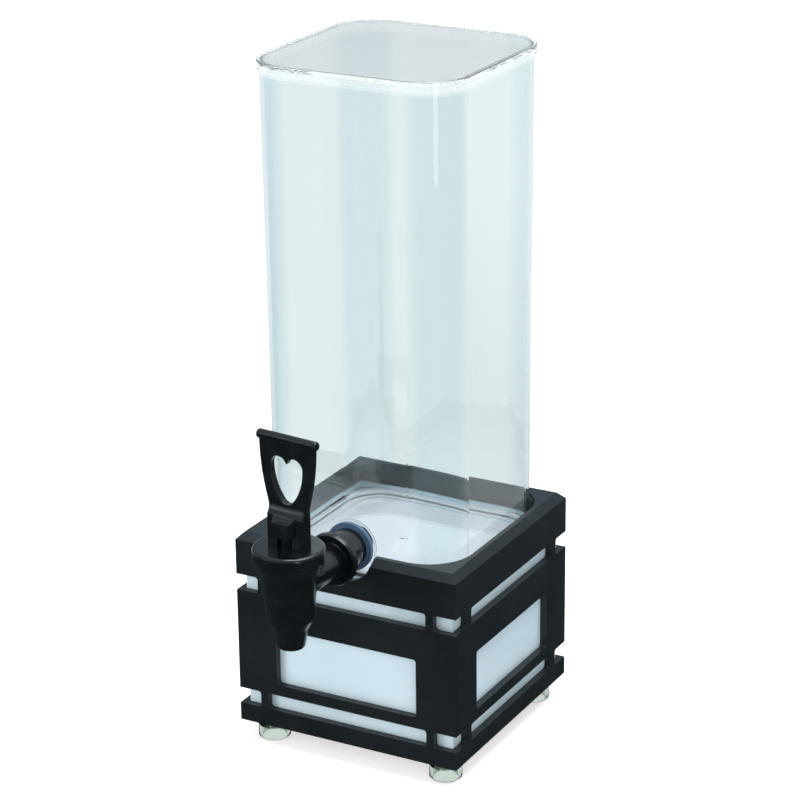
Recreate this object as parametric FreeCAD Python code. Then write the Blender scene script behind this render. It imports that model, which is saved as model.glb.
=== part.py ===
import FreeCAD, Part
import math
import os
from FreeCAD import Vector

# Countertop drink tower: a clear square container on a black open-sided base,
# with a lever tap in front. Millimetres, +Z up. The tap faces -Y.
# The origin is the centre of the base frame's lower edge.

# Clear container
TOWER_FOOT_SIDE = 172.0
TOWER_MOUTH_SIDE = 175.8
TOWER_RADIUS = 36.0
TOWER_HEIGHT = 410.4
TOWER_WALL = 3.0
TOWER_FLOOR = 5.0
TOWER_FOOT_RIM = 2.0
TOWER_RIM_WIDTH = 5.0
TOWER_LOW_FILLET = 2.5
TOWER_WELL_FILLET = 5.0
SUMP_INSET = 14.0
SUMP_DEPTH = 1.0
GATE_MARK_RADIUS = 2.5
GATE_MARK_HEIGHT = 0.5
MOUTH_BEAD = 1.8
MOUTH_BEAD_HEIGHT = 4.0
REST_GAP = 0.2

# Lid
LID_PLATE = 3.2
LID_OVERHANG = 0.2
LID_EDGE = 1.2
LID_RING_DEPTH = 8.0
LID_RING_WALL = 2.0
LID_RING_GAP = 0.7

# Base frame around the container's foot
BASE_HEIGHT = 167.0
BASE_BORDER = 12.1
FRAME_WALL = 6.0
TOP_PLATE = 6.0
TOP_BEVEL = 6.0
WELL_GAP = 3.9
WELL_CORNER_EASE = 2.0
WELL_DEPTH = 29.0

# Cut-outs that repeat on the four sides of the frame
SLOT_HEIGHT = 14.0
LOW_SLOT_RISE = 15.3
HIGH_SLOT_DROP = 50.0
CORNER_SLOT_REACH = 20.0
WEB_WIDTH = 6.8
WINDOW_MARGIN = 35.8
WINDOW_HEIGHT = 50.4
WINDOW_SILL = 9.5
CUT_RADIUS = 2.5
NOTCH_RADIUS = 25.5

# White inner box behind the cut-outs
LINER_SHEET = 3.0
LINER_REVEAL = 1.0
BOTTOM_PLATE = 5.0
BOTTOM_RECESS = 1.0
PRESSED_GAP = 6.5
SHELF_SHEET = 4.0
POST_SIDE = 20.0

# Feet
FOOT_RADIUS = 13.5
FOOT_DROP = 18.0
FOOT_WALL = 3.2
FOOT_TOP = 6.0
FOOT_EDGE = 1.0
FOOT_FRAME_GAP = 0.5
SCREW_RADIUS = 2.0
SCREW_LENGTH = 26.0
SCREW_HEAD_RADIUS = 4.2
SCREW_HEAD_HEIGHT = 2.6
SCREW_HEAD_EDGE = 1.0
SCREW_HOLE_GAP = 0.2
SCREW_TIP_GAP = 2.0

# Tap: where it sits, and what clamps it to the container's front wall
TAP_RISE = 24.8
TAP_REACH = 95.1
PAD_RADIUS = 21.5
PAD_PROUD = 0.7
SHANK_RADIUS = 13.5
THREAD_RADIUS = 9.5
SHANK_BORE = 6.3
THREAD_GAP = 0.3
THREAD_TAIL = 3.0
OUTER_WASHER = 3.3
OUTER_WASHER_RADIUS = 20.3
WASHER_GROOVE = 0.6
WASHER_GROOVE_WIDTH = 1.4
SPACER_LENGTH = 24.8
SPACER_RADIUS = 16.3
SPACER_EDGE = 0.8
COLLAR_THICKNESS = 6.0
COLLAR_RADIUS = 22.0
COLLAR_BEVEL = 2.4
COLLAR_RIB = 1.6
COLLAR_RIBS = 3
INNER_WASHER = 2.5
INNER_WASHER_RADIUS = 15.0
NUT_THICKNESS = 8.0
NUT_FLATS = 24.0

# Tap body, turned about the tap's upright axis; drops and rises are from the shank's axis
NOZZLE_DROP = 48.0
NOZZLE_LIP_RADIUS = 10.8
NOZZLE_LIP_ROUND = 2.4
NOZZLE_TOP_RADIUS = 14.0
NOZZLE_LENGTH = 16.5
NOZZLE_BORE = 8.0
BODY_FOOT_DROP = 24.0
BODY_FOOT_RADIUS = 18.3
BODY_RISE = 16.3
BODY_TOP_RADIUS = 22.6
NECK_STEP = 2.0
NECK_HEIGHT = 11.7
SEAT_DROP = 20.0
CHAMBER_FOOT_RADIUS = 14.5
CHAMBER_WALL = 2.6
CHAMBER_CONE_HEIGHT = 30.0

# Bonnet
BONNET_HEIGHT = 20.0
BONNET_RADIUS = 28.5
BONNET_FOOT_RADIUS = 24.5
BONNET_ROUND = 3.4
BONNET_BAND = 7.0
BONNET_CEILING = 6.0
SCREW_FIT = 0.3

# Stem, seat cup, spring and seal
STEM_RADIUS = 6.0
STEM_FIT = 0.08
STEM_FLANGE_RADIUS = 10.5
STEM_FLANGE = 2.0
STEM_TIP_RADIUS = 3.5
STEM_BARB_RADIUS = 4.6
STEM_BARB_HEIGHT = 2.5
CUP_HEIGHT = 14.0
CUP_FOOT_RADIUS = 10.5
CUP_TOP_RADIUS = 12.0
CUP_SOLE = 3.5
SEAL_WIDTH = 2.8
SEAL_HEIGHT = 2.8
SEAL_FIT = 0.3
SPRING_WASHER = 0.8
SPRING_WASHER_RADIUS = 12.0
SPRING_SLACK = 2.2
SPRING_WIRE = 0.6
SPRING_TURNS = 5
SPRING_STEPS = 16
SPRING_WIRE_SIDES = 8

# Lever handle; rises are from the pin, and the turn is clockwise seen from above
HANDLE_TURN = 6.5
LEVER_SWING = 40.0
PIN_RISE = 8.3
PIN_RADIUS = 2.0
PIN_FIT = 0.05
HANDLE_GAP = 0.3
CAM_FORWARD = 5.0
YOKE_FRONT = 5.4
YOKE_BACK = 7.6
YOKE_CHEEK = 9.3
YOKE_TOP_RISE = 17.0
YOKE_LEDGE = 6.5
POCKET_HALF_WIDTH = 7.0
POCKET_HEADROOM = 5.3
POCKET_ROUND = 3.0
PIN_COVER = 0.9
NOSE_FRONT = 11.0
NOSE_HALF_WIDTH = 7.4
NOSE_ROOT_HALF_WIDTH = 10.5
NOSE_TOP_RISE = 13.3
NOSE_FIT = 1.8
NOSE_EDGE = 0.8
SADDLE_DIP = 1.0
BLADE_THICKNESS = 6.5
BLADE_SETBACK = 2.2
BLADE_TOP_HALF_WIDTH = 25.3
BLADE_WAIST_HALF_WIDTH = 18.9
BLADE_BULGE = 1.7
BLADE_WAIST_RISE = 28.5
HANDLE_HEIGHT = 77.1
HANDLE_EDGE = 1.2
HEART_EDGE = 0.8
BAR_RADIUS = 3.8
BAR_LENGTH = 56.0
HEART_TIP_RISE = 25.3
HEART_HEIGHT = 38.0
HEART_HALF_WIDTH = 15.2
HEART_LOBE_DIP = 5.3
HEART_TIP_ROUND = 7.0

# Sizes that follow from the ones above
HALF = max(TOWER_FOOT_SIDE, TOWER_MOUTH_SIDE) / 2 + BASE_BORDER
INNER_HALF = HALF - FRAME_WALL
BOX_HALF = INNER_HALF - LINER_SHEET
PLATE_TOP_Z = BOTTOM_RECESS + BOTTOM_PLATE
SHELF_Z = BASE_HEIGHT - WELL_DEPTH
TOWER_Z = SHELF_Z + REST_GAP
TOWER_TOP_Z = TOWER_Z + TOWER_HEIGHT
FLOOR_UNDER_Z = TOWER_Z + TOWER_FOOT_RIM
FLOOR_Z = FLOOR_UNDER_Z + TOWER_FLOOR
TAP_Z = FLOOR_Z + TAP_RISE
LINER_TOP_Z = TAP_Z - NOTCH_RADIUS + LINER_REVEAL
LOW_SLOT_Z = LOW_SLOT_RISE
HIGH_SLOT_Z = BASE_HEIGHT - HIGH_SLOT_DROP
WINDOW_Z = LOW_SLOT_Z + SLOT_HEIGHT + WINDOW_SILL
FOOT_CENTRE = INNER_HALF - FOOT_RADIUS - FOOT_FRAME_GAP
FOOT_UNDER_Z = BOTTOM_RECESS - FOOT_TOP
CUT_MARGIN = 1.0


def tower_side(z):
    """The container's outer width at a height: its walls lean outwards a little for the mould."""
    share = (z - TOWER_Z) / TOWER_HEIGHT
    return TOWER_FOOT_SIDE + (TOWER_MOUTH_SIDE - TOWER_FOOT_SIDE) * share


WELL_SIDE = tower_side(BASE_HEIGHT) + 2 * WELL_GAP
PAD_FRONT_Y = -tower_side(TAP_Z) / 2 - PAD_PROUD
PAD_BACK_Y = -tower_side(TAP_Z) / 2 + TOWER_WALL + PAD_PROUD
SPACER_BACK_Y = PAD_FRONT_Y - OUTER_WASHER
COLLAR_BACK_Y = SPACER_BACK_Y - SPACER_LENGTH
COLLAR_FRONT_Y = COLLAR_BACK_Y - COLLAR_THICKNESS
NUT_FRONT_Y = PAD_BACK_Y + INNER_WASHER
NUT_BACK_Y = NUT_FRONT_Y + NUT_THICKNESS
THREAD_END_Y = NUT_BACK_Y + THREAD_TAIL
TAP_Y = PAD_FRONT_Y - TAP_REACH
NOZZLE_BOTTOM_Z = TAP_Z - NOZZLE_DROP
BODY_FOOT_Z = TAP_Z - BODY_FOOT_DROP
SEAT_Z = TAP_Z - SEAT_DROP
BODY_TOP_Z = TAP_Z + BODY_RISE
NECK_RADIUS = BODY_TOP_RADIUS - NECK_STEP
NECK_TOP_Z = BODY_TOP_Z + NECK_HEIGHT
CHAMBER_RADIUS = NECK_RADIUS - CHAMBER_WALL
BONNET_TOP_Z = BODY_TOP_Z + BONNET_HEIGHT
CEILING_Z = BONNET_TOP_Z - BONNET_CEILING
SEAL_BORE = STEM_RADIUS + SEAL_FIT
SEAL_OUTER = SEAL_BORE + SEAL_WIDTH
CUP_Z = SEAT_Z + REST_GAP
CUP_TOP_Z = CUP_Z + CUP_HEIGHT
STEM_FLANGE_TOP_Z = CUP_TOP_Z + STEM_FLANGE
SPRING_TOP_Z = CEILING_Z - SPRING_WASHER
SPRING_RADIUS = STEM_RADIUS + SPRING_SLACK + SPRING_WIRE
PIN_Z = BONNET_TOP_Z + PIN_RISE
PIN_REACH = POCKET_HALF_WIDTH + YOKE_CHEEK - PIN_COVER
CAM_RADIUS = PIN_RISE - HANDLE_GAP
YOKE_HALF_WIDTH = POCKET_HALF_WIDTH + YOKE_CHEEK
POCKET_CEILING = STEM_RADIUS + POCKET_HEADROOM
POCKET_FRONT = STEM_RADIUS + NOSE_FIT


# Shared helpers

def rounded_square(side, radius, z):
    """A closed wire: a square with four quarter-round corners."""
    half = side / 2
    flat = half - radius
    diagonal = flat + radius * math.sqrt(0.5)
    edges = []
    for turn in range(4):
        start = Vector(half, -flat, z)
        end = Vector(half, flat, z)
        middle = Vector(diagonal, diagonal, z)
        corner_end = Vector(flat, half, z)
        pair = [Part.LineSegment(start, end).toShape(), Part.Arc(end, middle, corner_end).toShape()]
        for edge in pair:
            edge.rotate(Vector(0, 0, 0), Vector(0, 0, 1), 90 * turn)
            edges.append(edge)
    return Part.Wire(edges)


def rounded_prism(side, radius, z_low, z_high):
    face = Part.Face(rounded_square(side, radius, z_low))
    return face.extrude(Vector(0, 0, z_high - z_low))


def leaning_prism(side_low, side_high, radius, z_low, z_high):
    low = rounded_square(side_low, radius, z_low)
    high = rounded_square(side_high, radius, z_high)
    return Part.makeLoft([low, high], True, True)


def upright_box(half_x, half_y, z_low, z_high):
    corner = Vector(-half_x, -half_y, z_low)
    return Part.makeBox(2 * half_x, 2 * half_y, z_high - z_low, corner)


def turned_upright(outline, x=0.0, y=0.0):
    """A solid turned about an upright axis from (radius, height) points."""
    points = [Vector(radius, 0, height) for radius, height in outline]
    face = Part.Face(Part.makePolygon(points + points[:1]))
    solid = face.revolve(Vector(0, 0, 0), Vector(0, 0, 1), 360)
    solid.translate(Vector(x, y, 0))
    return solid


def turned_level(outline):
    """A solid turned about the shank's level axis from (radius, y) points."""
    points = [Vector(radius, y, 0) for radius, y in outline]
    face = Part.Face(Part.makePolygon(points + points[:1]))
    solid = face.revolve(Vector(0, 0, 0), Vector(0, 1, 0), 360)
    solid.translate(Vector(0, 0, TAP_Z))
    return solid


def level_cylinder(radius, y_front, y_back):
    base = Vector(0, y_front, TAP_Z)
    return Part.makeCylinder(radius, y_back - y_front, base, Vector(0, 1, 0))


def lever_pin(radius, reach):
    """A level cylinder through the lever's origin that reaches equally far to both sides."""
    return Part.makeCylinder(radius, 2 * reach, Vector(-reach, 0, 0), Vector(1, 0, 0))


def placed_on_tap(shape):
    """A shape drawn about the lever's origin, turned with the lever and moved up to its pin."""
    shape.rotate(Vector(0, 0, 0), Vector(0, 0, 1), -HANDLE_TURN)
    shape.translate(Vector(0, TAP_Y, PIN_Z))
    return shape


def circle_edges(shape, radius, z):
    """The full-circle edges of one radius at one height."""
    found = []
    for edge in shape.Edges:
        is_circle = isinstance(edge.Curve, Part.Circle)
        if is_circle and abs(edge.Curve.Radius - radius) < 0.01 and abs(edge.BoundBox.ZMin - z) < 0.01:
            found.append(edge)
    return found


def edges_at_height(shape, z):
    """The level edges at one height."""
    found = []
    for edge in shape.Edges:
        box = edge.BoundBox
        if abs(box.ZMin - z) < 0.01 and abs(box.ZMax - z) < 0.01:
            found.append(edge)
    return found


def four_corners(solid):
    """The solid and its copies at the other three corners of the base."""
    copies = []
    for turn in range(4):
        copy = solid.copy()
        copy.rotate(Vector(0, 0, 0), Vector(0, 0, 1), 90 * turn)
        copies.append(copy)
    return Part.makeCompound(copies)


# Base frame

def panel_cut(x_low, x_high, z_low, z_high):
    """A round-cornered cut through the frame's front wall."""
    y = -HALF - CUT_MARGIN
    corner = Vector(x_low, y, z_low)
    depth = FRAME_WALL + 2 * CUT_MARGIN
    block = Part.makeBox(x_high - x_low, depth, z_high - z_low, corner)
    uprights = [edge for edge in block.Edges if edge.BoundBox.YLength > depth / 2]
    return block.makeFillet(CUT_RADIUS, uprights)


def side_cuts():
    """The window, the two long slots and the four corner slots of one side."""
    window_half = HALF - WINDOW_MARGIN
    cuts = [panel_cut(-window_half, window_half, WINDOW_Z, WINDOW_Z + WINDOW_HEIGHT)]
    past_corner = HALF + CUT_MARGIN + CUT_RADIUS
    corner_start = HALF - CORNER_SLOT_REACH
    slot_half = corner_start - WEB_WIDTH
    for z in (LOW_SLOT_Z, HIGH_SLOT_Z):
        cuts.append(panel_cut(-slot_half, slot_half, z, z + SLOT_HEIGHT))
        cuts.append(panel_cut(corner_start, past_corner, z, z + SLOT_HEIGHT))
        cuts.append(panel_cut(-past_corner, -corner_start, z, z + SLOT_HEIGHT))
    return cuts


def tap_notch():
    """The open-topped notch that lets the tap's shank drop into the front of the frame."""
    y_front = -HALF - CUT_MARGIN
    y_back = -WELL_SIDE / 2 + CUT_MARGIN
    round_part = level_cylinder(NOTCH_RADIUS, y_front, y_back)
    corner = Vector(-NOTCH_RADIUS, y_front, TAP_Z)
    throat = Part.makeBox(2 * NOTCH_RADIUS, y_back - y_front, BASE_HEIGHT, corner)
    return round_part.fuse(throat)


def frame_in_one():
    """The whole frame before it is divided: a hollow block with its well, notch and cut-outs."""
    block = upright_box(HALF, HALF, 0, BASE_HEIGHT)
    block = block.makeChamfer(TOP_BEVEL, edges_at_height(block, BASE_HEIGHT))
    hollow = upright_box(INNER_HALF, INNER_HALF, -CUT_MARGIN, BASE_HEIGHT - TOP_PLATE)
    well_low = BASE_HEIGHT - TOP_PLATE - CUT_MARGIN
    well = rounded_prism(WELL_SIDE, TOWER_RADIUS + WELL_CORNER_EASE, well_low, BASE_HEIGHT + CUT_MARGIN)
    cuts = [hollow, well, tap_notch()]
    for turn in range(4):
        for cut in side_cuts():
            cut.rotate(Vector(0, 0, 0), Vector(0, 0, 1), 90 * turn)
            cuts.append(cut)
    return block.cut(cuts).removeSplitter()


FRAME = frame_in_one()
PANEL_TOP_Z = BASE_HEIGHT - TOP_PLATE


def make_wide_panel(sign):
    """The frame's front or back panel, which runs the full width."""
    space = upright_box(HALF, FRAME_WALL / 2, 0, PANEL_TOP_Z)
    space.translate(Vector(0, sign * (HALF - FRAME_WALL / 2), 0))
    return FRAME.common(space)


def make_side_panel(sign):
    """The frame's left or right panel, which butts between the front and back panels."""
    space = upright_box(FRAME_WALL / 2, INNER_HALF, 0, PANEL_TOP_Z)
    space.translate(Vector(sign * (HALF - FRAME_WALL / 2), 0, 0))
    return FRAME.common(space)


def make_top_plate():
    """The bevelled plate with the container's well, which lies on all four panels."""
    return FRAME.common(upright_box(HALF, HALF, PANEL_TOP_Z, BASE_HEIGHT))


# White inner box

def make_wide_liner(sign):
    """A front or back sheet, which runs the full width inside the frame."""
    middle = sign * (INNER_HALF - LINER_SHEET / 2)
    sheet = upright_box(INNER_HALF, LINER_SHEET / 2, PLATE_TOP_Z, LINER_TOP_Z)
    sheet.translate(Vector(0, middle, 0))
    return sheet


def make_side_liner(sign):
    """A left or right sheet, which butts between the front and back sheets."""
    middle = sign * (INNER_HALF - LINER_SHEET / 2)
    sheet = upright_box(LINER_SHEET / 2, BOX_HALF, PLATE_TOP_Z, LINER_TOP_Z)
    sheet.translate(Vector(middle, 0, 0))
    return sheet


def screw_hole(z_low, z_high, radius):
    return Part.makeCylinder(radius, z_high - z_low, Vector(FOOT_CENTRE, FOOT_CENTRE, z_low))


def make_bottom_plate():
    """The plate that carries the feet; its middle is pressed down level with the frame's lower edge."""
    pressed_half = FOOT_CENTRE - FOOT_RADIUS - PRESSED_GAP
    plate = upright_box(INNER_HALF, INNER_HALF, BOTTOM_RECESS, PLATE_TOP_Z)
    plate = plate.fuse(upright_box(pressed_half, pressed_half, 0, BOTTOM_RECESS)).removeSplitter()
    hole = screw_hole(0, PLATE_TOP_Z + CUT_MARGIN, SCREW_RADIUS + SCREW_HOLE_GAP)
    return plate.cut(four_corners(hole))


def make_corner_posts():
    height = SHELF_Z - SHELF_SHEET - PLATE_TOP_Z
    corner = Vector(BOX_HALF - POST_SIDE, BOX_HALF - POST_SIDE, PLATE_TOP_Z)
    post = Part.makeBox(POST_SIDE, POST_SIDE, height, corner)
    pilot_top = FOOT_UNDER_Z + SCREW_LENGTH + SCREW_TIP_GAP
    pilot = screw_hole(PLATE_TOP_Z - CUT_MARGIN, pilot_top, SCREW_RADIUS)
    return four_corners(post.cut(pilot))


def make_shelf():
    return upright_box(BOX_HALF, BOX_HALF, SHELF_Z - SHELF_SHEET, SHELF_Z)


# Feet

def make_feet():
    foot = turned_upright([
        (0, BOTTOM_RECESS),
        (FOOT_RADIUS, BOTTOM_RECESS),
        (FOOT_RADIUS, FOOT_EDGE - FOOT_DROP),
        (FOOT_RADIUS - FOOT_EDGE, -FOOT_DROP),
        (FOOT_RADIUS - FOOT_WALL, -FOOT_DROP),
        (FOOT_RADIUS - FOOT_WALL, FOOT_UNDER_Z - FOOT_WALL),
        (FOOT_RADIUS - 2 * FOOT_WALL, FOOT_UNDER_Z),
        (0, FOOT_UNDER_Z),
    ], FOOT_CENTRE, FOOT_CENTRE)
    hole = screw_hole(FOOT_UNDER_Z - CUT_MARGIN, BOTTOM_RECESS + CUT_MARGIN, SCREW_RADIUS + SCREW_HOLE_GAP)
    return four_corners(foot.cut(hole))


def make_foot_screws():
    head_z = FOOT_UNDER_Z - SCREW_HEAD_HEIGHT
    screw = turned_upright([
        (0, head_z),
        (SCREW_HEAD_RADIUS - SCREW_HEAD_EDGE, head_z),
        (SCREW_HEAD_RADIUS, head_z + SCREW_HEAD_EDGE),
        (SCREW_HEAD_RADIUS, FOOT_UNDER_Z),
        (SCREW_RADIUS, FOOT_UNDER_Z),
        (SCREW_RADIUS, FOOT_UNDER_Z + SCREW_LENGTH - SCREW_RADIUS),
        (0, FOOT_UNDER_Z + SCREW_LENGTH),
    ], FOOT_CENTRE, FOOT_CENTRE)
    return four_corners(screw)


# Clear container and lid

def make_container():
    outer = leaning_prism(TOWER_FOOT_SIDE, TOWER_MOUTH_SIDE, TOWER_RADIUS, TOWER_Z, TOWER_TOP_Z)
    outer = outer.makeFillet(TOWER_LOW_FILLET, edges_at_height(outer, TOWER_Z))
    bead_side = TOWER_MOUTH_SIDE + 2 * MOUTH_BEAD
    bead = rounded_prism(bead_side, TOWER_RADIUS + MOUTH_BEAD, TOWER_TOP_Z - MOUTH_BEAD_HEIGHT, TOWER_TOP_Z)
    pad = level_cylinder(PAD_RADIUS, PAD_FRONT_Y, PAD_BACK_Y)
    inner_radius = TOWER_RADIUS - TOWER_WALL
    inner_low = tower_side(FLOOR_Z) - 2 * TOWER_WALL
    inner_high = TOWER_MOUTH_SIDE - 2 * TOWER_WALL
    inside = leaning_prism(inner_low, inner_high, inner_radius, FLOOR_Z, TOWER_TOP_Z)
    inside = inside.makeFillet(TOWER_WELL_FILLET, edges_at_height(inside, FLOOR_Z))
    sump_side = inner_low - 2 * SUMP_INSET
    sump = rounded_prism(sump_side, inner_radius - SUMP_INSET, FLOOR_Z - SUMP_DEPTH, FLOOR_Z + CUT_MARGIN)
    under_side = TOWER_FOOT_SIDE - 2 * TOWER_RIM_WIDTH
    under = rounded_prism(under_side, TOWER_RADIUS - TOWER_RIM_WIDTH, TOWER_Z - CUT_MARGIN, FLOOR_UNDER_Z)
    shell = outer.fuse(bead).cut([inside, sump, under])
    gate_mark = Part.makeCylinder(GATE_MARK_RADIUS, GATE_MARK_HEIGHT, Vector(0, 0, FLOOR_Z - SUMP_DEPTH))
    tap_hole = level_cylinder(THREAD_RADIUS + THREAD_GAP, PAD_FRONT_Y - CUT_MARGIN, PAD_BACK_Y + CUT_MARGIN)
    return shell.fuse([pad, gate_mark]).cut(tap_hole).removeSplitter()


def make_lid():
    side = TOWER_MOUTH_SIDE + 2 * (MOUTH_BEAD + LID_OVERHANG)
    radius = TOWER_RADIUS + MOUTH_BEAD + LID_OVERHANG
    z = TOWER_TOP_Z + REST_GAP
    plate = rounded_prism(side, radius, z, z + LID_PLATE)
    plate = plate.makeFillet(LID_EDGE, edges_at_height(plate, z + LID_PLATE))
    ring_side = TOWER_MOUTH_SIDE - 2 * (TOWER_WALL + LID_RING_GAP)
    ring_radius = TOWER_RADIUS - TOWER_WALL - LID_RING_GAP
    ring = rounded_prism(ring_side, ring_radius, z - LID_RING_DEPTH, z)
    core = rounded_prism(ring_side - 2 * LID_RING_WALL, ring_radius - LID_RING_WALL,
                         z - LID_RING_DEPTH - CUT_MARGIN, z)
    return plate.fuse(ring.cut(core)).removeSplitter()


# Tap: what clamps it to the container's wall

def make_outer_washer():
    bore = THREAD_RADIUS + THREAD_GAP
    groove = OUTER_WASHER_RADIUS - 2 * WASHER_GROOVE_WIDTH
    return turned_level([
        (bore, PAD_FRONT_Y),
        (OUTER_WASHER_RADIUS, PAD_FRONT_Y),
        (OUTER_WASHER_RADIUS, SPACER_BACK_Y),
        (groove + WASHER_GROOVE_WIDTH, SPACER_BACK_Y),
        (groove + WASHER_GROOVE_WIDTH, SPACER_BACK_Y + WASHER_GROOVE),
        (groove, SPACER_BACK_Y + WASHER_GROOVE),
        (groove, SPACER_BACK_Y),
        (bore, SPACER_BACK_Y),
    ])


def make_spacer():
    bore = THREAD_RADIUS + THREAD_GAP
    return turned_level([
        (bore, SPACER_BACK_Y),
        (SPACER_RADIUS - SPACER_EDGE, SPACER_BACK_Y),
        (SPACER_RADIUS, SPACER_BACK_Y - SPACER_EDGE),
        (SPACER_RADIUS, COLLAR_BACK_Y + SPACER_EDGE),
        (SPACER_RADIUS - SPACER_EDGE, COLLAR_BACK_Y),
        (bore, COLLAR_BACK_Y),
    ])


def make_collar():
    """The clamping collar: a bevelled disc whose front face carries ring-shaped ribs."""
    outline = [
        (THREAD_RADIUS + THREAD_GAP, COLLAR_BACK_Y),
        (COLLAR_RADIUS, COLLAR_BACK_Y),
        (COLLAR_RADIUS, COLLAR_FRONT_Y + COLLAR_BEVEL),
    ]
    radius = COLLAR_RADIUS - COLLAR_BEVEL / 2
    for rib in range(COLLAR_RIBS):
        outline.append((radius, COLLAR_FRONT_Y))
        outline.append((radius - COLLAR_RIB / 2, COLLAR_FRONT_Y))
        outline.append((radius - COLLAR_RIB, COLLAR_FRONT_Y + COLLAR_BEVEL / 2))
        radius -= COLLAR_RIB
    outline.append((radius - COLLAR_RIB / 2, COLLAR_FRONT_Y))
    outline.append((THREAD_RADIUS + THREAD_GAP, COLLAR_FRONT_Y))
    return turned_level(outline)


def make_inner_washer():
    ring = level_cylinder(INNER_WASHER_RADIUS, PAD_BACK_Y, NUT_FRONT_Y)
    bore = level_cylinder(THREAD_RADIUS + THREAD_GAP, PAD_BACK_Y - CUT_MARGIN, NUT_FRONT_Y + CUT_MARGIN)
    return ring.cut(bore)


def make_shank_nut():
    corner_radius = NUT_FLATS / math.cos(math.pi / 6) / 2
    points = []
    for side in range(7):
        angle = math.pi / 3 * side
        x = corner_radius * math.cos(angle)
        z = TAP_Z + corner_radius * math.sin(angle)
        points.append(Vector(x, NUT_FRONT_Y, z))
    hexagon = Part.Face(Part.makePolygon(points)).extrude(Vector(0, NUT_THICKNESS, 0))
    corner_cut = corner_radius - NUT_FLATS / 2
    rounding = turned_level([
        (0, NUT_FRONT_Y),
        (corner_radius, NUT_FRONT_Y),
        (corner_radius, NUT_BACK_Y - corner_cut),
        (NUT_FLATS / 2, NUT_BACK_Y),
        (0, NUT_BACK_Y),
    ])
    bore = level_cylinder(THREAD_RADIUS + THREAD_GAP, NUT_FRONT_Y - CUT_MARGIN, NUT_BACK_Y + CUT_MARGIN)
    return hexagon.common(rounding).cut(bore)


# Tap body and bonnet

def make_tap_body():
    nozzle_top = NOZZLE_BOTTOM_Z + NOZZLE_LENGTH
    casting = turned_upright([
        (0, NOZZLE_BOTTOM_Z),
        (NOZZLE_LIP_RADIUS, NOZZLE_BOTTOM_Z),
        (NOZZLE_TOP_RADIUS, nozzle_top),
        (BODY_FOOT_RADIUS, BODY_FOOT_Z),
        (BODY_TOP_RADIUS, BODY_TOP_Z),
        (NECK_RADIUS, BODY_TOP_Z),
        (NECK_RADIUS, NECK_TOP_Z),
        (0, NECK_TOP_Z),
    ], 0, TAP_Y)
    casting = casting.makeFillet(NOZZLE_LIP_ROUND, circle_edges(casting, NOZZLE_LIP_RADIUS, NOZZLE_BOTTOM_Z))
    shank = level_cylinder(SHANK_RADIUS, TAP_Y, COLLAR_FRONT_Y)
    thread = level_cylinder(THREAD_RADIUS, COLLAR_FRONT_Y - CUT_MARGIN, THREAD_END_Y)
    chamber = turned_upright([
        (0, NOZZLE_BOTTOM_Z - CUT_MARGIN),
        (NOZZLE_BORE, NOZZLE_BOTTOM_Z - CUT_MARGIN),
        (NOZZLE_BORE, SEAT_Z),
        (CHAMBER_FOOT_RADIUS, SEAT_Z),
        (CHAMBER_RADIUS, SEAT_Z + CHAMBER_CONE_HEIGHT),
        (CHAMBER_RADIUS, NECK_TOP_Z + CUT_MARGIN),
        (0, NECK_TOP_Z + CUT_MARGIN),
    ], 0, TAP_Y)
    channel = level_cylinder(SHANK_BORE, TAP_Y, THREAD_END_Y + CUT_MARGIN)
    return casting.fuse([shank, thread]).cut([chamber, channel]).removeSplitter()


def make_bonnet():
    """The screw cap over the valve chamber: a rounded drum with the stem's bore in its top."""
    band_low = BONNET_TOP_Z - BONNET_ROUND - BONNET_BAND
    cap = turned_upright([
        (0, BODY_TOP_Z),
        (BONNET_FOOT_RADIUS, BODY_TOP_Z),
        (BONNET_RADIUS, band_low),
        (BONNET_RADIUS, BONNET_TOP_Z),
        (0, BONNET_TOP_Z),
    ], 0, TAP_Y)
    cap = cap.makeFillet(BONNET_ROUND, circle_edges(cap, BONNET_RADIUS, BONNET_TOP_Z))
    cap = cap.makeFillet(BONNET_ROUND, circle_edges(cap, BONNET_RADIUS, band_low))
    recess = turned_upright([
        (0, BODY_TOP_Z - CUT_MARGIN),
        (NECK_RADIUS + SCREW_FIT, BODY_TOP_Z - CUT_MARGIN),
        (NECK_RADIUS + SCREW_FIT, CEILING_Z),
        (SEAL_OUTER, CEILING_Z),
        (SEAL_OUTER, CEILING_Z + SEAL_HEIGHT),
        (STEM_RADIUS + STEM_FIT, CEILING_Z + SEAL_HEIGHT),
        (STEM_RADIUS + STEM_FIT, BONNET_TOP_Z + CUT_MARGIN),
        (0, BONNET_TOP_Z + CUT_MARGIN),
    ], 0, TAP_Y)
    return cap.cut(recess).removeSplitter()


# Stem and what rides on it

def make_stem():
    """The valve stem: a round rod with a flange for the spring and a barb for the seat cup."""
    head_top = PIN_Z + STEM_RADIUS
    barb_z = CUP_Z + CUP_SOLE + STEM_BARB_HEIGHT
    stem = turned_upright([
        (0, CUP_Z + CUP_SOLE),
        (STEM_TIP_RADIUS, CUP_Z + CUP_SOLE),
        (STEM_BARB_RADIUS, barb_z),
        (STEM_TIP_RADIUS, barb_z),
        (STEM_TIP_RADIUS, CUP_TOP_Z),
        (STEM_FLANGE_RADIUS, CUP_TOP_Z),
        (STEM_FLANGE_RADIUS, STEM_FLANGE_TOP_Z),
        (STEM_RADIUS, STEM_FLANGE_TOP_Z),
        (STEM_RADIUS, head_top - PIN_RADIUS),
        (STEM_RADIUS - PIN_RADIUS, head_top),
        (0, head_top),
    ], 0, TAP_Y)
    return stem.cut(placed_on_tap(lever_pin(PIN_RADIUS, PIN_REACH)))


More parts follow.
